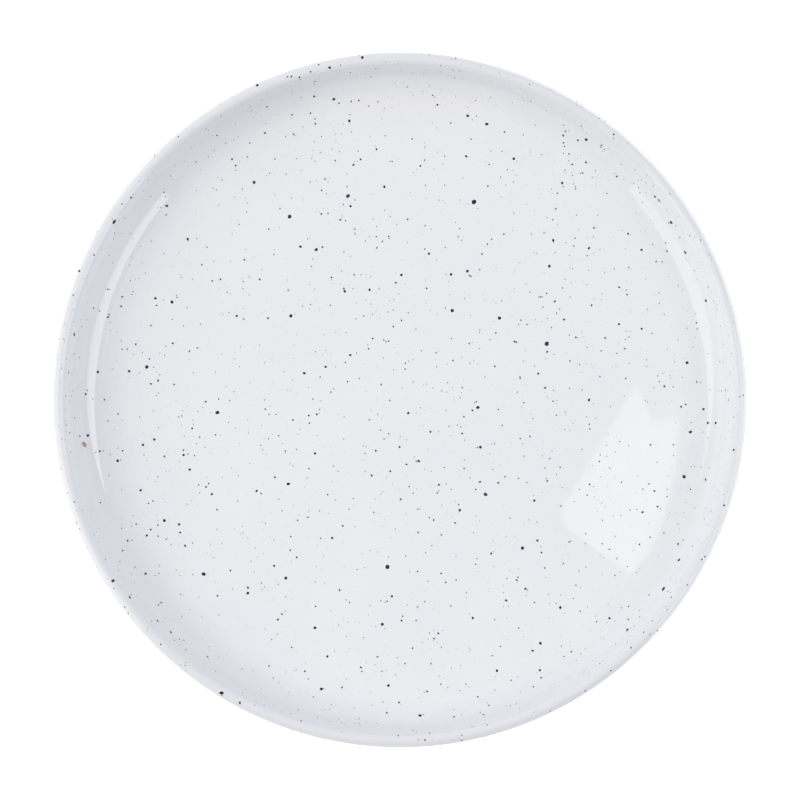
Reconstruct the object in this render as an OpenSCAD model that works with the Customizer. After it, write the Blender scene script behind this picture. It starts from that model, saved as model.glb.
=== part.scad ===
// Coupe dinner plate: a stoneware body with a foot ring, dressed in a thin glaze.
// The plate is round, so one half section drawn in the plane of radius and height makes every piece.
// The origin is on the axis, at the level of the table. Millimetres and degrees throughout.

/* [Overall] */
// Diameter over the glazed lip
plate_d = 270; // [220:1:320]
// Height from the table to the top of the glazed lip
plate_h = 25; // [20:0.5:40]

/* [Wall and floor] */
// Thickness of the glazed wall, which ends in a full-round lip
wall_t = 5; // [3.4:0.1:7]
// Slope of the wall above the horizontal
wall_slope = 72; // [55:1:82]
// Thickness of the floor from glaze to glaze
floor_t = 5.6; // [4:0.1:8]
// Radius of the cove that carries the floor up into the wall
cove_r = 12; // [7:0.5:15]
// Radius of the heel, the outside turn below the cove
heel_r = 16; // [10:0.5:18]

/* [Foot ring] */
// Distance from the outside of the lip in to the middle of the foot ring
foot_inset = 41; // [32:1:70]
// Width of the bare foot ring between its two sides
foot_w = 4.6; // [3:0.1:8]
// Height of the glazed underside above the table
foot_h = 2.4; // [1.8:0.1:4]
// Radius of the fillets at the root of the foot ring
root_r = 1.2; // [0.6:0.1:1.6]
// Radius of the rounded edges of the land, the flat that stands on the table
land_edge_r = 0.7; // [0.3:0.1:1.2]

/* [Glaze] */
// Thickness of the glaze
glaze_t = 0.4; // [0.2:0.05:0.6]
// Height of the line above which the foot ring is glazed
glaze_line_h = 1; // [0.5:0.1:1.4]

/* [Hidden] */
$fn = 180;

clay_colour = [0.76, 0.65, 0.5];
glaze_colour = [0.91, 0.92, 0.94];

// Each round is larger by this hair, so that it crosses its neighbours and doesn't only graze them
crossing = 0.002;

// Levels of the glazed floor and of the glazed underside
floor_z = foot_h + floor_t;
under_z = foot_h;
// A level inside the floor's thickness, between the two glazes
mid_floor_z = foot_h + floor_t / 2;

// The lip is a half round on the middle of the wall
lip_r = wall_t / 2;
lip_centre = [plate_d / 2 - lip_r, plate_h - lip_r];

// Unit steps along the wall, upwards, and square to it, into the plate
up_wall = [cos(wall_slope), sin(wall_slope)];
into_plate = [-sin(wall_slope), cos(wall_slope)];

// Point at the level z on the line beside the wall's middle, a distance to the inside of it
function beside_wall(distance, z) =
    let (start = lip_centre + distance * into_plate)
    start - up_wall * (start.y - z) / up_wall.y;

// The cove and the heel touch the wall and the floor or underside
cove_centre = beside_wall(lip_r + cove_r, floor_z + cove_r);
heel_centre = beside_wall(heel_r - lip_r, under_z + heel_r);

// Middle and sides of the glazed foot ring, and the centre height of its root fillets
foot_r = plate_d / 2 - foot_inset;
foot_in = foot_r - foot_w / 2 - glaze_t;
foot_out = foot_r + foot_w / 2 + glaze_t;
root_z = under_z - root_r;
// Centre height of the land's rounded edges, which stand on the table
land_edge_z = land_edge_r;

// Half section of the plate, with a skin of the given thickness taken off its whole surface.
// No skin off is the glazed plate. The glaze's thickness off is the bare clay.
module section(skin) {
    difference() {
        union() {
            floor_and_wall(skin);
            lip(skin);
            foot_ring(skin);
        }
        cove(skin);
        heel_corner(skin);
    }
}

// Straight-sided blank of the floor and the wall, with a chord across the cove and a sharp heel
module floor_and_wall(skin) {
    polygon([
        [0, under_z + skin],
        beside_wall(skin - lip_r, under_z + skin),
        lip_centre - (lip_r - skin) * into_plate,
        lip_centre + (lip_r - skin) * into_plate,
        cove_centre - (cove_r + skin) * into_plate,
        [cove_centre.x, floor_z - skin],
        [0, floor_z - skin],
    ]);
}

// Full round on top of the wall
module lip(skin) {
    translate(lip_centre)
        circle(lip_r - skin + crossing);
}

// Hollow that rounds the corner between floor and wall
module cove(skin) {
    translate(cove_centre)
        circle(cove_r + skin + crossing);
}

// Sharp corner between underside and wall that the heel's round leaves over
module heel_corner(skin) {
    corner = beside_wall(skin - lip_r, under_z + skin);
    difference() {
        polygon([
            [heel_centre.x, under_z + skin],
            2 * corner - heel_centre,
            heel_centre - (heel_r - skin) * into_plate,
        ]);
        translate(heel_centre)
            circle(heel_r - skin + crossing);
    }
}

// Ring under the floor, with filleted roots and a land with round edges
module foot_ring(skin) {
    inner = foot_in + skin;
    outer = foot_out - skin;
    // The bare land is on the table, and a glazed one would be lower by the glaze
    land_z = skin - glaze_t;
    edge_r = land_edge_r + glaze_t - skin;
    root_corner_r = root_r + skin;
    difference() {
        translate([inner - root_corner_r, root_z])
            square([outer - inner + 2 * root_corner_r, mid_floor_z - root_z]);
        translate([foot_in - root_r, root_z])
            circle(root_corner_r);
        translate([foot_out + root_r, root_z])
            circle(root_corner_r);
    }
    translate([inner, land_edge_z])
        square([outer - inner, mid_floor_z - land_edge_z]);
    translate([inner + edge_r, land_z])
        square([outer - inner - 2 * edge_r, mid_floor_z - land_z]);
    for (x = [inner + edge_r, outer - edge_r])
        translate([x, land_edge_z])
            circle(edge_r);
}

// Half section of all the glaze, above the line where the foot was wiped clean
module glaze_section() {
    difference() {
        section(0);
        section(glaze_t);
        translate([0, -plate_h])
            square([plate_d, plate_h + glaze_line_h]);
    }
}

// Everything under the middle of the floor and inside the middle of the foot ring
module foot_well_region() {
    square([foot_r, mid_floor_z]);
}

// Fired clay of the plate, bare on its foot
module stoneware_body() {
    color(clay_colour)
        rotate_extrude()
            section(glaze_t);
}

// Glaze from the outside of the foot, round the heel, over the lip and across the inside
module glaze_coat() {
    color(glaze_colour)
        rotate_extrude()
            difference() {
                glaze_section();
                foot_well_region();
            }
}

// Glaze inside the foot ring, parted from the rest by the bare foot
module foot_well_glaze() {
    color(glaze_colour)
        rotate_extrude()
            intersection() {
                glaze_section();
                foot_well_region();
            }
}

stoneware_body();
glaze_coat();
foot_well_glaze();
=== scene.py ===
"""Coupe dinner plate in speckled white glaze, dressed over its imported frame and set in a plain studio."""
import math
import random
from functools import cached_property

import bpy
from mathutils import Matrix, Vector


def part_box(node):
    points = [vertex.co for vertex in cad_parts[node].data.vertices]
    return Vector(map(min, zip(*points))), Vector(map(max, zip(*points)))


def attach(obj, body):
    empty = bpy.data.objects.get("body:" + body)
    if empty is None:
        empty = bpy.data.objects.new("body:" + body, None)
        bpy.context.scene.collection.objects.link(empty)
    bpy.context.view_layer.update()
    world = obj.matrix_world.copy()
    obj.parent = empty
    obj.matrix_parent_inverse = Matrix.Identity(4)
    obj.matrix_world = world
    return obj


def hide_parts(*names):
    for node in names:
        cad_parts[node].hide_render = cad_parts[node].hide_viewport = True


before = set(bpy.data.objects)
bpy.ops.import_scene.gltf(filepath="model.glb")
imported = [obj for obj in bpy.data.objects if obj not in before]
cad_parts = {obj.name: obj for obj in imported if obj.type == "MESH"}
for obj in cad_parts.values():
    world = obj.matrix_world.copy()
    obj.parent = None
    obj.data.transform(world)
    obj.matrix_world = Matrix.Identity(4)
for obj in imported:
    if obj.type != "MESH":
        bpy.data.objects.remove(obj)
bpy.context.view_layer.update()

MM = 0.001
BODY = "root"

# Sizes of the plate as the solids have them, in metres, and the slope of its wall in degrees
RIM_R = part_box("glaze_coat")[1].x
RIM_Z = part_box("glaze_coat")[1].z
LIP_R = 2.5 * MM
WALL_SLOPE = 72.0
FLOOR_Z = 8.0 * MM
UNDER_Z = 2.4 * MM
COVE_R = 12.0 * MM
HEEL_R = 16.0 * MM
FOOT_OUT = 96.7 * MM
FOOT_IN = 91.3 * MM
ROOT_R = 1.2 * MM
GLAZE_T = 0.4 * MM
GLAZE_LINE_Z = 1.0 * MM

# Fineness of the skins: points around the plate, and steps along each stretch of its section
AROUND = 288
EDGE_STEPS = 8
ROOT_STEPS = 8
UNDER_STEPS = 6
HEEL_STEPS = 30
WALL_STEPS = 4
LIP_STEPS = 40
COVE_STEPS = 36
FLOOR_STEPS = 24
WELL_STEPS = 16


# Section of the plate

def arc(centre, radius, start, end, steps, hollow=False):
    """Points (r, z, normal r, normal z) along an arc, in degrees. Normals of a hollow arc point inwards."""
    sign = -1 if hollow else 1
    points = []
    for i in range(steps + 1):
        a = math.radians(start + (end - start) * i / steps)
        c, s = math.cos(a), math.sin(a)
        points.append((centre[0] + radius * c, centre[1] + radius * s, sign * c, sign * s))
    return points


def line(start, end, normal, steps=1):
    """Points (r, z, normal r, normal z) along a straight stretch."""
    points = []
    for i in range(steps + 1):
        t = i / steps
        points.append((start[0] + (end[0] - start[0]) * t, start[1] + (end[1] - start[1]) * t, *normal))
    return points


def joined(*stretches):
    """One path from several, without the doubled points where they meet."""
    path = list(stretches[0])
    for stretch in stretches[1:]:
        path += stretch[1:]
    return path


def wall_offset(distance, z):
    """Radius at the level z of the line beside the wall's middle, a distance to the inside of it."""
    slope = math.radians(WALL_SLOPE)
    start_r = RIM_R - LIP_R - distance * math.sin(slope)
    start_z = RIM_Z - LIP_R + distance * math.cos(slope)
    return start_r - (start_z - z) / math.tan(slope)


# Centres of the arcs, level of the roots' centres, and directions square to the wall, outwards and inwards
LIP_C = (RIM_R - LIP_R, RIM_Z - LIP_R)
COVE_C = (wall_offset(LIP_R + COVE_R, FLOOR_Z + COVE_R), FLOOR_Z + COVE_R)
HEEL_C = (wall_offset(HEEL_R - LIP_R, UNDER_Z + HEEL_R), UNDER_Z + HEEL_R)
ROOT_Z = UNDER_Z - ROOT_R
OUT_ANGLE = WALL_SLOPE - 90
IN_ANGLE = WALL_SLOPE + 90


def coat_path():
    """Air side of the coat, from the wiped line outside the foot, over the lip, to the floor's middle."""
    foot = line((FOOT_OUT, GLAZE_LINE_Z + GLAZE_T / 2), (FOOT_OUT, ROOT_Z), (1, 0))
    root = arc((FOOT_OUT + ROOT_R, ROOT_Z), ROOT_R, 180, 90, ROOT_STEPS, hollow=True)
    under = line((FOOT_OUT + ROOT_R, UNDER_Z), (HEEL_C[0], UNDER_Z), (0, -1), UNDER_STEPS)
    heel = arc(HEEL_C, HEEL_R, -90, OUT_ANGLE, HEEL_STEPS)
    lip = arc(LIP_C, LIP_R, OUT_ANGLE, IN_ANGLE, LIP_STEPS)
    cove = arc(COVE_C, COVE_R, OUT_ANGLE, -90, COVE_STEPS, hollow=True)
    floor = line((COVE_C[0], FLOOR_Z), (0, FLOOR_Z), (0, 1), FLOOR_STEPS)
    outside = line(heel[-1][:2], lip[0][:2], lip[0][2:], WALL_STEPS)
    inside = line(lip[-1][:2], cove[0][:2], cove[0][2:], WALL_STEPS)
    return joined(foot, root, under, heel, outside, lip, inside, cove, floor)


def well_path():
    """Air side of the glaze inside the foot ring, from its wiped line to the middle."""
    foot = line((FOOT_IN, GLAZE_LINE_Z + GLAZE_T / 2), (FOOT_IN, ROOT_Z), (-1, 0))
    root = arc((FOOT_IN - ROOT_R, ROOT_Z), ROOT_R, 0, 90, ROOT_STEPS, hollow=True)
    under = line((FOOT_IN - ROOT_R, UNDER_Z), (0, UNDER_Z), (0, -1), WELL_STEPS)
    return joined(foot, root, under)


# Skins of glaze

# Waves of the wiped edge, as (waves around the plate, share of the height, start in radians)
WIPED_WAVES = ((5, 1.0, 0.6), (13, 0.7, 2.1), (29, 0.5, 0.0))
WIPED_HEIGHT = 0.07 * MM
# A point of the section nearer to the axis than this lies on it
ON_AXIS = 1e-9


def new_object(name, vertices, faces):
    mesh = bpy.data.meshes.new(name)
    mesh.from_pydata(vertices, [], faces)
    mesh.update()
    obj = bpy.data.objects.new(name, mesh)
    bpy.context.scene.collection.objects.link(obj)
    return obj


def wiped_edge(turn):
    """How far the wiped edge of the glaze strays from its line, at a turn in radians."""
    return WIPED_HEIGHT * sum(share * math.sin(waves * turn + start) for waves, share, start in WIPED_WAVES)


def skin_section(path, outward):
    """Section of a skin: the rounded edge at its wiped line, and then the air side and the clay side.
    outward is +1 where the edge is outside the foot ring and -1 inside it."""
    centre = (path[0][0] - outward * GLAZE_T / 2, path[0][1])
    start = 180 if outward > 0 else 0
    edge = arc(centre, GLAZE_T / 2, start, start + outward * 180, EDGE_STEPS)
    clay = [(r - GLAZE_T * nr, z - GLAZE_T * nz, -nr, -nz) for r, z, nr, nz in path[1:]]
    return edge, path[1:] + clay[::-1]


def turned_points(edge, rest):
    """Vertices and normals of a turned section, and its rings as lists of vertex numbers.
    On the axis a ring is one vertex. The points of the edge stray with the wiping."""
    vertices, normals, rings = [], [], []
    for k, (r, z, nr, nz) in enumerate(edge + rest):
        if r < ON_AXIS:
            rings.append([len(vertices)])
            vertices.append((0, 0, z))
            normals.append((0, 0, nz))
            continue
        rings.append(list(range(len(vertices), len(vertices) + AROUND)))
        for j in range(AROUND):
            a = 2 * math.pi * j / AROUND
            lift = wiped_edge(a) if k < len(edge) else 0
            vertices.append((r * math.cos(a), r * math.sin(a), z + lift))
            normals.append((nr * math.cos(a), nr * math.sin(a), nz))
    return vertices, normals, rings


def ring_faces(rings):
    """Faces from each ring to the next one, and from the last back to the first."""
    faces = []
    for ring, following in zip(rings, rings[1:] + rings[:1]):
        if len(ring) == 1 and len(following) == 1:
            continue
        for j in range(AROUND):
            n = (j + 1) % AROUND
            if len(ring) == 1:
                faces.append((ring[0], following[n], following[j]))
            elif len(following) == 1:
                faces.append((ring[j], ring[n], following[0]))
            else:
                faces.append((ring[j], ring[n], following[n], following[j]))
    return faces


def glaze_skin(name, path, outward):
    """Closed skin of glaze turned from the path of its air side."""
    vertices, normals, rings = turned_points(*skin_section(path, outward))
    faces = ring_faces(rings)
    if outward < 0:
        faces = [face[::-1] for face in faces]
    obj = new_object(name, vertices, faces)
    obj.data.shade_smooth()
    obj.data.normals_split_custom_set_from_vertices(normals)
    return obj


def build_glaze():
    """The two skins that stand for the glaze of the solids."""
    coat = glaze_skin("glaze_coat_skin", coat_path(), 1)
    well = glaze_skin("foot_well_skin", well_path(), -1)
    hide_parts("glaze_coat")
    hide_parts("foot_well_glaze")
    glaze = glaze_material()
    for skin in (coat, well):
        skin.data.materials.append(glaze)
        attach(skin, BODY)


# Specks

# The larger specks, as (x, y, diameter) in millimetres. Finer ones are strewn between them
PLACED_SPECKS = (
    (29, 77.5, 2.1), (57.5, 22, 1.9), (-5, -65.5, 1.9), (-20.5, 80, 1.65), (-77.5, -68.5, 1.65),
    (-68.5, -114, 1.65), (-72, -5, 1.65), (-43.5, 72, 1.65), (33.5, -37, 1.65), (-100, 13, 1.5),
    (-43, 33, 1.5), (20.5, 35, 1.5), (48, -58, 1.5), (73, 101.5, 1.5), (111, -30, 1.5), (103, -73.5, 1.9),
    (39, 32, 1.4), (-33, 59, 1.4), (-57.5, 85.5, 1.4), (8, -123.5, 1.4), (89, -89.5, 1.4),
    (-111, -70.5, 1.4), (-89.5, -91, 1.4), (-110.6, 69.4, 1.9), (30.5, -3, 1.4), (-7, -88, 1.3),
    (-33.5, -89.5, 1.3), (-31, -113.5, 1.3), (-94.5, -86.5, 1.3), (-45, -70, 1.3), (-60, -76, 1.3),
    (31.5, -18.5, 1.3), (34, 108, 1.3), (-26, 118, 1.3), (-90, 38.5, 1.3), (-111.5, -24, 1.3),
    (-93, -47.5, 1.3), (-44, -33, 1.3), (113.5, -12.5, 1.3), (106, 69, 1.7),
    (-13.6, 132.9, 1.4), (-26.3, 129, 1.2), (-54.6, 122.4, 1.35), (-20, 109.5, 1.2), (26.5, 111.3, 1.2),
    (44.6, 94.4, 1.2), (25.9, 95.4, 1.05), (-33.6, 119, 1.0), (55, -95.2, 1.2), (38, -106, 1.15),
    (-4.6, -112, 1.2), (-28.6, -100.7, 1.05), (54.8, -105.7, 1.05), (-61.3, -117.8, 1.1),
    (-92, 76.4, 1.2), (-83.8, 63.4, 1.0), (-96.6, 40, 1.1), (-119.3, 11, 1.1), (-107, 11.3, 1.15),
    (-126.8, 25.6, 1.6), (-124.4, 50.3, 1.3), (-104, 78.8, 1.1), (-64.4, 33, 1.0), (-123.8, 2.3, 1.0),
    (-97, -15.6, 1.1), (-101.5, -17.7, 1.05), (-85.4, -21.7, 1.05), (-83, -27.4, 1.1), (-56.5, -35.8, 1.05),
    (-102.4, -35.6, 1.1), (-87.2, -49, 1.05), (-100, -53.4, 1.0), (-84.8, -57.4, 1.0), (-49.6, -65.2, 1.0),
    (-100.3, -68.4, 1.05), (-104.7, -77, 1.5), (-123, -14, 1.3),
    (-19.5, 76, 1.05), (-6.2, 83.6, 1.1), (-39.2, 60.2, 1.15), (11.3, 57.3, 1.05), (0.5, 49, 1.15),
    (20, 49.2, 1.15), (26.4, 50.4, 1.2), (-21.8, 42.6, 1.15), (-12, 43.2, 1.1), (-19.6, 17.6, 1.05),
    (-29.3, 13, 1.05), (-37.7, 10.5, 1.2), (3.2, -5.2, 1.1), (-33.5, -21, 1.05), (7.3, -24, 1.1),
    (23.4, -43.2, 1.2), (-26.8, -54.2, 1.05), (-3.2, -77, 1.05), (41.6, -78.5, 1.05), (28.5, -85.4, 1.05),
    (60, 62.4, 1.1), (58.5, 52.3, 1.3), (63.5, 84.8, 1.1), (74, 59.3, 1.1), (94.5, 58.6, 1.05),
    (111.5, 57.4, 1.4), (99.7, 79, 1.4), (101.3, 77.5, 1.5), (112.2, 14.5, 1.3), (119.5, 38.6, 1.3),
    (120.3, -9, 1.1), (123.3, -9, 1.1), (118.6, -3.6, 1.05), (130, -19.3, 1.0), (126.3, -40.7, 0.85),
    (109, -62.3, 1.3), (62.8, -81.2, 1.2), (82, -85.3, 1.1), (52.6, -39.4, 1.05), (53.8, -55, 1.05),
    (74, 0, 1.15),
)
# The tan spot likewise, with its stretch and its lean from the way down the wall
TAN_SPOT = (-124.2, -17.5, 2.5)
TAN_STRETCH = 1.3
TAN_LEAN = math.radians(38)

# Strewn specks: how many, their diameters in millimetres, which spread about a middle one, and their seeds.
# On the side seen from above the larger ones are listed, so only smaller ones are strewn there
SPECKS_PER_M2 = 32500
MIDDLE_SPECK = 0.45
SPECK_SPREAD = 0.42
LARGEST_STRAY = 1.35
LARGEST_STRAY_INSIDE = 0.98
CLEAR_OF_AXIS = 4 * MM
COAT_SEED = 7
WELL_SEED = 11
SPOT_SEED = 3

# Shape of a speck: its height over the glaze, its depth in it, and the ranges of its stretch and its lumps.
# Its rings, from the middle out, are (share of its radius, height over the glaze), and its edge is sunk
PROUD = 0.025 * MM
SUNK = -0.6 * PROUD
SPECK_DEPTH = 3 * PROUD
STRETCH = (1.0, 1.18)
LUMPS = (0.9, 1.08)
FINE_RINGS = ((0.86, PROUD), (1.0, SUNK))
BOLD_RINGS = ((0.45, PROUD), (0.86, PROUD), (1.0, SUNK))
FINE_SIDES = 6
BOLD_SIDES = 10
BOLD_ABOVE = 0.6 * MM


class Walk:
    """Places along a path of the glaze's air side, by distance from its start."""

    def __init__(self, path):
        self.path = path
        self.far = [0.0]
        for p, q in zip(path, path[1:]):
            self.far.append(self.far[-1] + math.hypot(q[0] - p[0], q[1] - p[1]))

    def at(self, distance):
        """Point (r, z, normal r, normal z) of the path at a distance."""
        distance = min(max(distance, 0.0), self.far[-1])
        k = max(i for i, far in enumerate(self.far[:-1]) if far <= distance)
        t = (distance - self.far[k]) / (self.far[k + 1] - self.far[k])
        return [a + (b - a) * t for a, b in zip(self.path[k], self.path[k + 1])]

    def at_radius(self, radius):
        """Distance at which the side seen from above, past the widest place, has that radius."""
        widest = max(range(len(self.path)), key=lambda i: self.path[i][0])
        for k in range(widest, len(self.path) - 1):
            outer, inner = self.path[k][0], self.path[k + 1][0]
            if inner <= radius <= outer and outer > inner:
                return self.far[k] + (self.far[k + 1] - self.far[k]) * (outer - radius) / (outer - inner)
        return self.far[widest]

    def by_area(self, rng):
        """Distance drawn at random, evenly over the turned surface."""
        while True:
            distance = rng.uniform(0, self.far[-1])
            if rng.uniform(0, RIM_R) < self.at(distance)[0]:
                return distance

    def area(self):
        """Area of the turned surface."""
        total = 0.0
        for p, q, a, b in zip(self.path, self.path[1:], self.far, self.far[1:]):
            total += math.pi * (p[0] + q[0]) * (b - a)
        return total


class SpeckMesh:
    """Collects specks as flat, irregular, closed lenses that lie in the skin of the glaze."""

    def __init__(self, seed, hand=1):
        """hand is -1 on a path whose air side is on its other hand, so that faces still point outwards."""
        self.rng = random.Random(seed)
        self.hand = hand
        self.vertices = []
        self.faces = []

    def add(self, walk, distance, turn, diameter, stretch=None, lean=None):
        """A speck is stretched and leans at random, unless these are given."""
        bold = diameter > BOLD_ABOVE
        sides = BOLD_SIDES if bold else FINE_SIDES
        rings = BOLD_RINGS if bold else FINE_RINGS
        stretch = stretch or self.rng.uniform(*STRETCH)
        lean = lean or self.rng.uniform(0, math.pi)
        lumps = [self.rng.uniform(*LUMPS) for _ in range(sides)]
        top = len(self.vertices)
        self.vertices.append(self.point(walk, distance, turn, 0, PROUD))
        for size, lift in rings:
            for i in range(sides):
                a = 2 * math.pi * i / sides
                u = math.cos(a) * lumps[i] * size * stretch * diameter / 2
                v = math.sin(a) * lumps[i] * size / stretch * diameter / 2
                along = u * math.cos(lean) - v * math.sin(lean)
                across = u * math.sin(lean) + v * math.cos(lean)
                self.vertices.append(self.point(walk, distance + along, turn, across, lift))
        under = len(self.vertices)
        self.vertices.append(self.point(walk, distance, turn, 0, -SPECK_DEPTH))
        for i in range(sides):
            n = (i + 1) % sides
            here, there = top + 1 + i, top + 1 + n
            self.faces.append((top, there, here))
            for _ in rings[1:]:
                self.faces.append((here, there, there + sides, here + sides))
                here, there = here + sides, there + sides
            self.faces.append((here, there, under))

    def point(self, walk, distance, turn, across, lift):
        """Place at a distance and a turn, then a way across the path and a lift off the glaze."""
        r, z, nr, nz = walk.at(distance)
        a = turn + self.hand * across / max(r, MM)
        return ((r + nr * lift) * math.cos(a), (r + nr * lift) * math.sin(a), z + nz * lift)

    def make(self, name, material):
        obj = new_object(name, self.vertices, self.faces)
        obj.data.materials.append(material)
        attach(obj, BODY)


def add_placed(specks, walk, x, y, diameter, stretch=None, lean=None):
    """Adds a speck where it is seen from above, at x and y in millimetres."""
    distance = walk.at_radius(math.hypot(x, y) * MM)
    specks.add(walk, distance, math.atan2(y, x), diameter * MM, stretch, lean)


def add_strays(specks, walk, placed_from=math.inf):
    """Strews specks over a path. From a distance on, the larger ones are listed and not strewn."""
    rng = specks.rng
    for _ in range(round(SPECKS_PER_M2 * walk.area())):
        diameter = MIDDLE_SPECK * rng.lognormvariate(0, SPECK_SPREAD)
        distance = walk.by_area(rng)
        turn = rng.uniform(0, 2 * math.pi)
        largest = LARGEST_STRAY if distance < placed_from else LARGEST_STRAY_INSIDE
        if diameter < largest and walk.at(distance)[0] > CLEAR_OF_AXIS:
            specks.add(walk, distance, turn, diameter * MM)


def build_specks():
    """Specks of the coat and of the foot's well, and the tan spot."""
    coat, well = Walk(coat_path()), Walk(well_path())
    iron = speck_material()
    specks = SpeckMesh(COAT_SEED)
    for speck in PLACED_SPECKS:
        add_placed(specks, coat, *speck)
    add_strays(specks, coat, coat.at_radius(RIM_R))
    specks.make("coat_specks", iron)
    under = SpeckMesh(WELL_SEED, hand=-1)
    add_strays(under, well)
    under.make("foot_well_specks", iron)
    spot = SpeckMesh(SPOT_SEED)
    add_placed(spot, coat, *TAN_SPOT, TAN_STRETCH, TAN_LEAN)
    spot.make("tan_spot", tan_material())


# Node trees

# Numbers of the colour sockets of a Mix node, which has others of the same names
MIX_FIRST = 6
MIX_SECOND = 7
MIX_RESULT = 2


class Nodes:
    """Short hand for a node tree whose patterns lie in one kind of texture coordinates."""

    def __init__(self, tree, coordinates):
        self.tree = tree
        self.coordinates = coordinates

    @cached_property
    def place(self):
        """The coordinates, added where a pattern first asks for them."""
        return self.add("ShaderNodeTexCoord").outputs[self.coordinates]

    @cached_property
    def rays(self):
        """Outputs that tell the kinds of rays apart."""
        return self.add("ShaderNodeLightPath").outputs

    def add(self, kind, **settings):
        node = self.tree.nodes.new(kind)
        for key, value in settings.items():
            setattr(node, key, value)
        return node

    def feed(self, socket, value):
        """Gives a socket another node's output, a colour or a number."""
        if isinstance(value, bpy.types.NodeSocket):
            self.tree.links.new(value, socket)
        elif isinstance(value, tuple):
            socket.default_value = (*value, 1)
        else:
            socket.default_value = value

    def axis(self, name):
        """Coordinate along one axis."""
        node = self.add("ShaderNodeSeparateXYZ")
        self.feed(node.inputs["Vector"], self.place)
        return node.outputs[name]

    def math(self, operation, first, second):
        node = self.add("ShaderNodeMath", operation=operation)
        self.feed(node.inputs[0], first)
        self.feed(node.inputs[1], second)
        return node.outputs[0]

    def noise(self, scale, detail=2.0):
        node = self.add("ShaderNodeTexNoise")
        self.feed(node.inputs["Scale"], scale)
        self.feed(node.inputs["Detail"], detail)
        self.feed(node.inputs["Vector"], self.place)
        return node.outputs["Fac"]

    def cells(self, scale):
        """Distance from the middle of the nearest of many scattered cells."""
        node = self.add("ShaderNodeTexVoronoi")
        self.feed(node.inputs["Scale"], scale)
        self.feed(node.inputs["Vector"], self.place)
        return node.outputs["Distance"]

    def spread(self, value, band, to=(0, 1), way="LINEAR"):
        """Spreads a band of a value over another range."""
        node = self.add("ShaderNodeMapRange", interpolation_type=way)
        self.feed(node.inputs["Value"], value)
        self.feed(node.inputs["From Min"], band[0])
        self.feed(node.inputs["From Max"], band[1])
        self.feed(node.inputs["To Min"], to[0])
        self.feed(node.inputs["To Max"], to[1])
        return node.outputs["Result"]

    def mix(self, factor, first, second):
        """Mix of two colours, each fixed or another node's output."""
        node = self.add("ShaderNodeMix", data_type="RGBA")
        self.feed(node.inputs["Factor"], factor)
        self.feed(node.inputs[MIX_FIRST], first)
        self.feed(node.inputs[MIX_SECOND], second)
        return node.outputs[MIX_RESULT]

    def seen_directly(self):
        """1 for the rays of the camera, of gloss and of glass, which see the white background."""
        seen = self.math("MAXIMUM", self.rays["Is Camera Ray"], self.rays["Is Glossy Ray"])
        return self.math("MAXIMUM", seen, self.rays["Is Transmission Ray"])


class Paint(Nodes):
    """Node tree of a new material."""

    def __init__(self, name):
        self.material = bpy.data.materials.new(name)
        self.material.use_nodes = True
        super().__init__(self.material.node_tree, "Object")
        self.shader = self.tree.nodes["Principled BSDF"]

    def set(self, name, value):
        """Feeds an input of the material's shader."""
        self.feed(self.shader.inputs[name], value)

    def bump(self, height, distance):
        node = self.add("ShaderNodeBump")
        self.feed(node.inputs["Distance"], distance)
        self.feed(node.inputs["Height"], height)
        self.set("Normal", node.outputs["Normal"])

    def replace_shader(self, shader):
        """Puts another shader in the place of the one that a new material has."""
        self.tree.nodes.remove(self.shader)
        self.feed(self.tree.nodes["Material Output"].inputs["Surface"], shader.outputs[0])


# Materials

# Bands of a noise's values that are spread out: only the middle, or nearly all
MIDDLE_BAND = (0.35, 0.65)
WIDE_BAND = (0.3, 0.7)
GLASSY_IOR = 1.5

GLAZE_PALE = (0.835, 0.845, 0.876)
GLAZE_COOL = (0.818, 0.829, 0.861)
GLAZE_LIP = (0.77, 0.778, 0.808)
GLAZE_ROUGHNESS = (0.012, 0.03)
GLAZE_RIPPLE = 0.0004 * MM
# Levels between which the glaze turns darker towards the top of the lip
LIP_DARK_BAND = (RIM_Z - 3 * MM, RIM_Z - 0.4 * MM)
# Dust in the glaze: colour, grains to a metre, their core and soft edge in cells, and their depth of tone
DUST = (0.36, 0.37, 0.41)
DUST_SCALE = 450
DUST_GRAIN = (0.03, 0.11)
DUST_DEPTH = 0.5

SPECK_BLACK = (0.013, 0.013, 0.026)
SPECK_SLATE = (0.047, 0.05, 0.083)
SPECK_ROUGHNESS = (0.06, 0.12)

TAN_PALE = (0.56, 0.39, 0.29)
TAN_DARK = (0.36, 0.23, 0.155)
TAN_ROUGHNESS = (0.15, 0.3)

BUFF_PALE = (0.60, 0.47, 0.33)
BUFF_DARK = (0.50, 0.37, 0.25)
BUFF_ROUGHNESS = (0.78, 0.95)
BUFF_GRAIN = 0.06 * MM
SAND = (0.23, 0.15, 0.10)
SAND_BAND = (0.62, 0.72)
SAND_DEPTH = 0.7
# Clay toasted by the fire, with the levels between which it darkens
TOAST = (0.36, 0.21, 0.11)
TOAST_BAND = (0.5 * MM, 1.1 * MM)
TOAST_DEPTH = 0.75


def glaze_material():
    """Glossy cool white, a little uneven, darker towards the top of the lip, with fine iron dust."""
    m = Paint("speckled_glaze")
    cloud = m.spread(m.noise(scale=22, detail=3), MIDDLE_BAND)
    colour = m.mix(cloud, GLAZE_PALE, GLAZE_COOL)
    lip_dark = m.spread(m.axis("Z"), LIP_DARK_BAND)
    colour = m.mix(lip_dark, colour, GLAZE_LIP)
    grain = m.spread(m.cells(DUST_SCALE), DUST_GRAIN, (DUST_DEPTH, 0))
    m.set("Base Color", m.mix(grain, colour, DUST))
    m.set("Roughness", m.spread(m.noise(scale=90), WIDE_BAND, GLAZE_ROUGHNESS))
    m.set("IOR", GLASSY_IOR)
    m.bump(m.noise(scale=300, detail=1), GLAZE_RIPPLE)
    return m.material


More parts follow.
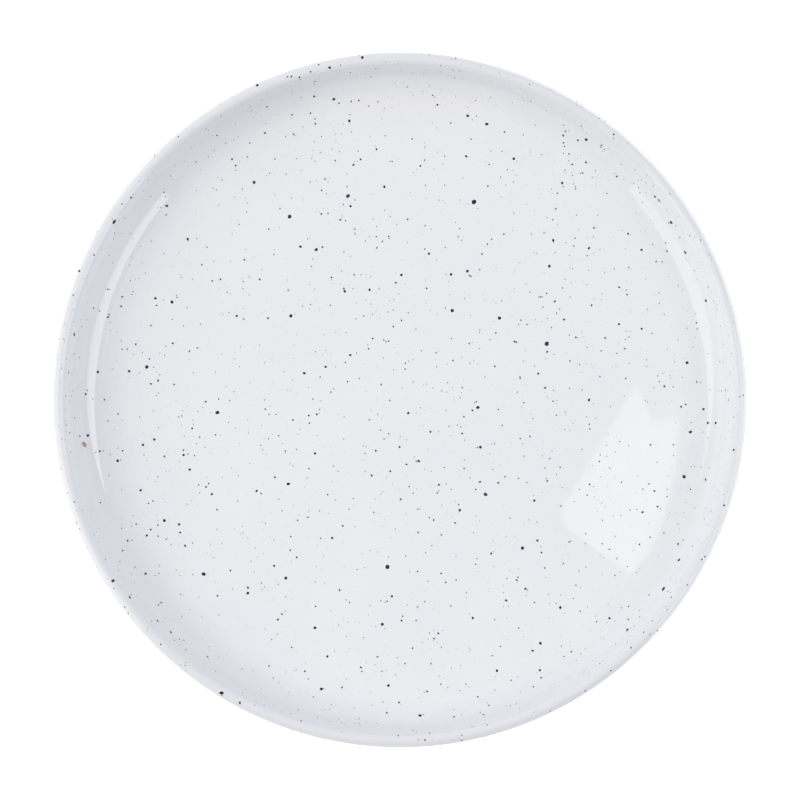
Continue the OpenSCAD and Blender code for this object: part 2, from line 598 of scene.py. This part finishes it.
def speck_material():
    """Iron that melted into the glaze: blue-black to dark slate, nearly as glossy as the glaze."""
    m = Paint("iron_speck")
    tone = m.spread(m.noise(scale=180, detail=1), MIDDLE_BAND)
    m.set("Base Color", m.mix(tone, SPECK_BLACK, SPECK_SLATE))
    m.set("Roughness", m.spread(m.noise(scale=700), WIDE_BAND, SPECK_ROUGHNESS))
    m.set("IOR", GLASSY_IOR)
    return m.material


def tan_material():
    """Clay that shows through where the glaze is thin."""
    m = Paint("thin_glaze_tan")
    tone = m.spread(m.noise(scale=1500), MIDDLE_BAND)
    m.set("Base Color", m.mix(tone, TAN_PALE, TAN_DARK))
    m.set("Roughness", m.spread(m.noise(scale=900), WIDE_BAND, TAN_ROUGHNESS))
    return m.material


def clay_material():
    """Bare buff stoneware: sandy, matt, a little browner where it meets the glaze."""
    m = Paint("buff_stoneware")
    tone = m.spread(m.noise(scale=160, detail=4), WIDE_BAND)
    buff = m.mix(tone, BUFF_PALE, BUFF_DARK)
    sand = m.spread(m.noise(scale=2600, detail=3), SAND_BAND, (0, SAND_DEPTH))
    buff = m.mix(sand, buff, SAND)
    toast = m.spread(m.axis("Z"), TOAST_BAND, (0, TOAST_DEPTH))
    m.set("Base Color", m.mix(toast, buff, TOAST))
    m.set("Roughness", m.spread(m.noise(scale=900, detail=3), WIDE_BAND, BUFF_ROUGHNESS))
    m.bump(m.noise(scale=2200, detail=4), BUFF_GRAIN)
    return m.material


def dress_body():
    """The clay stays as the solid has it, in its own material."""
    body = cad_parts["stoneware_body"]
    clay = clay_material()
    body.data.materials.clear()
    body.data.materials.append(clay)


# Camera and background

# Place and lean of the camera, and the width of the picture at the level of the rim, in metres and degrees
CAMERA_ABOVE_RIM = 1.5
CAMERA_ASIDE = 0.1
CAMERA_Y = -0.04 * MM
CAMERA_LEAN = 3.773
FRAME_AT_RIM = 0.3095
# Width of the sensor in millimetres
SENSOR = 36.0

WHITE = (1.0, 1.0, 1.0)
# Colour of the even light, and the share of it that is lost straight in front
AMBIENT = (0.609, 0.629, 0.676)
FRONT_DIM = 0.18
# Gloss sees white at the horizon, which dims to CEILING where a direction's height reaches DIM_ABOVE
CEILING = 0.2
DIM_ABOVE = 0.5

TABLE_HALF = 3.0
TABLE_COLOUR = (0.8, 0.8, 0.8)
TABLE_GLOW = 0.6


def build_camera():
    """Looks down from a little to the right of the plate's axis, with +Y up in the picture."""
    data = bpy.data.cameras.new("camera")
    data.sensor_width = SENSOR
    data.lens = SENSOR * CAMERA_ABOVE_RIM / FRAME_AT_RIM
    camera = bpy.data.objects.new("camera", data)
    camera.location = (CAMERA_ASIDE, CAMERA_Y, RIM_Z + CAMERA_ABOVE_RIM)
    camera.rotation_euler.y = math.radians(CAMERA_LEAN)
    bpy.context.scene.collection.objects.link(camera)
    bpy.context.scene.camera = camera


def build_world():
    """Even light, dimmer from the front. The camera sees white, and gloss sees white that dims upwards."""
    world = bpy.data.worlds.new("studio")
    bpy.context.scene.world = world
    world.use_nodes = True
    m = Nodes(world.node_tree, "Generated")
    light = m.tree.nodes["Background"]
    m.feed(light.inputs["Color"], AMBIENT)
    m.feed(light.inputs["Strength"], m.spread(m.axis("Y"), (-1, 0), (1 - FRONT_DIM, 1)))
    white = m.add("ShaderNodeBackground")
    m.feed(white.inputs["Color"], WHITE)
    dimming = m.spread(m.axis("Z"), (0, DIM_ABOVE), (0, 1 - CEILING), "SMOOTHSTEP")
    for_gloss = m.math("MULTIPLY", dimming, m.rays["Is Glossy Ray"])
    m.feed(white.inputs["Strength"], m.math("SUBTRACT", 1, for_gloss))
    mix = m.add("ShaderNodeMixShader")
    m.feed(mix.inputs["Fac"], m.seen_directly())
    m.feed(mix.inputs[1], light.outputs[0])
    m.feed(mix.inputs[2], white.outputs[0])
    m.feed(m.tree.nodes["World Output"].inputs["Surface"], mix.outputs[0])


def build_floor():
    """Pale table top. It looks white where light falls on it, and keeps the plate's shadow."""
    h = TABLE_HALF
    floor = new_object("table_top", [(-h, -h, 0), (h, -h, 0), (h, h, 0), (-h, h, 0)], [(0, 1, 2, 3)])
    m = Paint("table_top")
    lit = m.add("ShaderNodeBsdfDiffuse")
    m.feed(lit.inputs["Color"], TABLE_COLOUR)
    glow = m.add("ShaderNodeEmission")
    m.feed(glow.inputs["Color"], WHITE)
    m.feed(glow.inputs["Strength"], m.math("MULTIPLY", m.seen_directly(), TABLE_GLOW))
    both = m.add("ShaderNodeAddShader")
    m.feed(both.inputs[0], lit.outputs[0])
    m.feed(both.inputs[1], glow.outputs[0])
    m.replace_shader(both)
    floor.data.materials.append(m.material)


# Lights

# Soft lamps, as (name, azimuth, elevation, radiance, tint), and their distance and width in metres
WARM = (1.0, 0.93, 0.83)
COOL = (0.8, 1.0, 1.1)
LAMPS = (
    ("left_key", 180, 50, 2.45, WARM),
    ("left_low", 180, 22, 1.7, WARM),
    ("right_fill", 0, 50, 1.95, WARM),
    ("left_back", 150, 12, 0.9, COOL),
    ("right_back", 30, 12, 0.75, COOL),
)
LAMP_AWAY = 2.0
SOFTBOX = 1.2

# Corners of the side panels, as (azimuth, elevation) a metre away, and their radiance at foot and top
RIGHT_CARD = (
    (20.5, 50.5), (10, 61.5), (-11, 65.5), (-22, 61.5), (-46, 58.5), (-44.5, 26.5), (-13, 25.5), (3, 33),
)
RIGHT_GLOW = (2.5, 3.5)
LEFT_CARD = (
    (218.5, 47), (212, 58), (180, 58), (166.5, 53), (180, 35), (191, 15.5), (197.5, 4), (220, 3.5),
)
LEFT_GLOW = (1.9, 2.1)

# Corners of the patch that the ceiling's panel makes on the floor, in millimetres, and the panel's radiance
CEILING_PATCH = (
    (92.5, 6.5), (98.4, -8.5), (109, -7.3), (108, -28), (100.4, -55.5), (90.5, -68.3), (64, -49),
    (63.4, -43),
)
PATCH_GLOW = 1.75

# Band beside the rim: radius, lower edge, height and its share at the ends, azimuths, parts and radiance
STRIP_R = RIM_R + 7 * MM
STRIP_LOW = RIM_Z - 5 * MM
STRIP_RISE = 8 * MM
STRIP_END = 0.1
STRIP_FROM = -50
STRIP_TO = 80
STRIP_PARTS = 26
STRIP_GLOW = 4.0


def toward(azimuth, elevation):
    """Unit step from the plate. Azimuth turns from +X towards +Y, in degrees."""
    a, e = math.radians(azimuth), math.radians(elevation)
    return Vector((math.cos(a) * math.cos(e), math.sin(a) * math.cos(e), math.sin(e)))


def softbox(name, azimuth, elevation, radiance, tint):
    """Soft square lamp that faces the plate and gives no reflection of its own."""
    data = bpy.data.lights.new(name, "AREA")
    data.shape = "SQUARE"
    data.size = SOFTBOX
    data.color = tint
    data.energy = radiance * math.pi * SOFTBOX ** 2
    data.cycles.use_multiple_importance_sampling = False
    lamp = bpy.data.objects.new(name, data)
    away = LAMP_AWAY * toward(azimuth, elevation)
    lamp.location = away
    lamp.rotation_euler = away.to_track_quat("Z", "Y").to_euler()
    lamp.visible_camera = False
    lamp.visible_glossy = False
    bpy.context.scene.collection.objects.link(lamp)


def card(name, corners, foot, top, faces=None):
    """Bright panel that only gloss sees, for the lamps' reflections, with its radiance at foot and top."""
    panel = new_object(name, corners, faces or [tuple(range(len(corners)))])
    m = Paint(name)
    glow = m.add("ShaderNodeEmission")
    strength = top
    if foot != top:
        levels = [corner[2] for corner in corners]
        strength = m.spread(m.axis("Z"), (min(levels), max(levels)), (foot, top))
    m.feed(glow.inputs["Strength"], strength)
    m.replace_shader(glow)
    panel.data.materials.append(m.material)
    panel.visible_camera = False
    panel.visible_diffuse = False
    panel.visible_shadow = False


def rim_strip():
    """Narrow bright band beside the right of the rim, for the light on the lip. Its ends taper."""
    corners = []
    for i in range(STRIP_PARTS + 1):
        t = i / STRIP_PARTS
        a = math.radians(STRIP_FROM + (STRIP_TO - STRIP_FROM) * t)
        x, y = STRIP_R * math.cos(a), STRIP_R * math.sin(a)
        rise = STRIP_RISE * math.sqrt(STRIP_END ** 2 + math.sin(math.pi * t))
        corners += [(x, y, STRIP_LOW), (x, y, STRIP_LOW + rise)]
    faces = [(2 * i, 2 * i + 2, 2 * i + 3, 2 * i + 1) for i in range(STRIP_PARTS)]
    card("rim_strip", corners, STRIP_GLOW, STRIP_GLOW, faces)


def ceiling_patch():
    """Panel level with the camera. Its patch on the floor lies halfway between them, half as large."""
    camera_z = RIM_Z + CAMERA_ABOVE_RIM
    corners = [(2 * x * MM - CAMERA_ASIDE, 2 * y * MM, camera_z) for x, y in CEILING_PATCH]
    card("ceiling_patch", corners, PATCH_GLOW, PATCH_GLOW)


def build_lights():
    for lamp in LAMPS:
        softbox(*lamp)
    card("right_card", [toward(*corner) for corner in RIGHT_CARD], *RIGHT_GLOW)
    card("left_card", [toward(*corner) for corner in LEFT_CARD], *LEFT_GLOW)
    rim_strip()
    ceiling_patch()


build_glaze()
build_specks()
dress_body()
build_camera()
build_world()
build_floor()
build_lights()

bpy.context.scene.view_settings.view_transform = "Standard"
